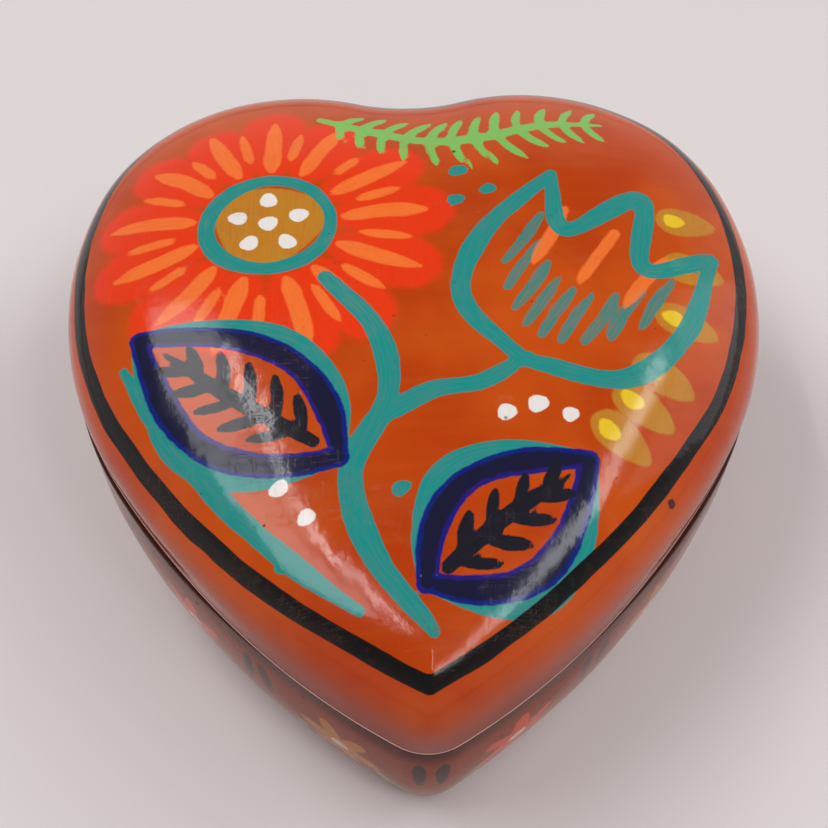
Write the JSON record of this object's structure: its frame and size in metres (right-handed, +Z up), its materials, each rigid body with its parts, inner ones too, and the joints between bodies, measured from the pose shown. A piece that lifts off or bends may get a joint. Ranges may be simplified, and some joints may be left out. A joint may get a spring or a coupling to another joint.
{
  "type": "trinket box",
  "caption": "Heart-shaped painted terracotta trinket box with a domed lift-off lid that locates in the base's mouth by an inner rim.",
  "frame": {"origin": "on the table, under the middle of the box's footprint", "axes": "+Z up, the tip of the heart towards -Y, the two lobes towards +Y"},
  "size_m": [0.15, 0.1601, 0.0657],
  "materials": {
    "painted_terracotta_base": "gloss lacquer over painted clay",
    "painted_terracotta_lid": "gloss lacquer over painted clay"
  },
  "bodies": {
    "base": {"base": "painted_terracotta_base"},
    "lid": {"lid": "painted_terracotta_lid"}
  },
  "joints": [
    {"name": "lid_lift", "type": "slide", "parent": "base", "child": "lid", "axis": [0, 0, 1], "range_m": [0, 0.1]}
  ]
}
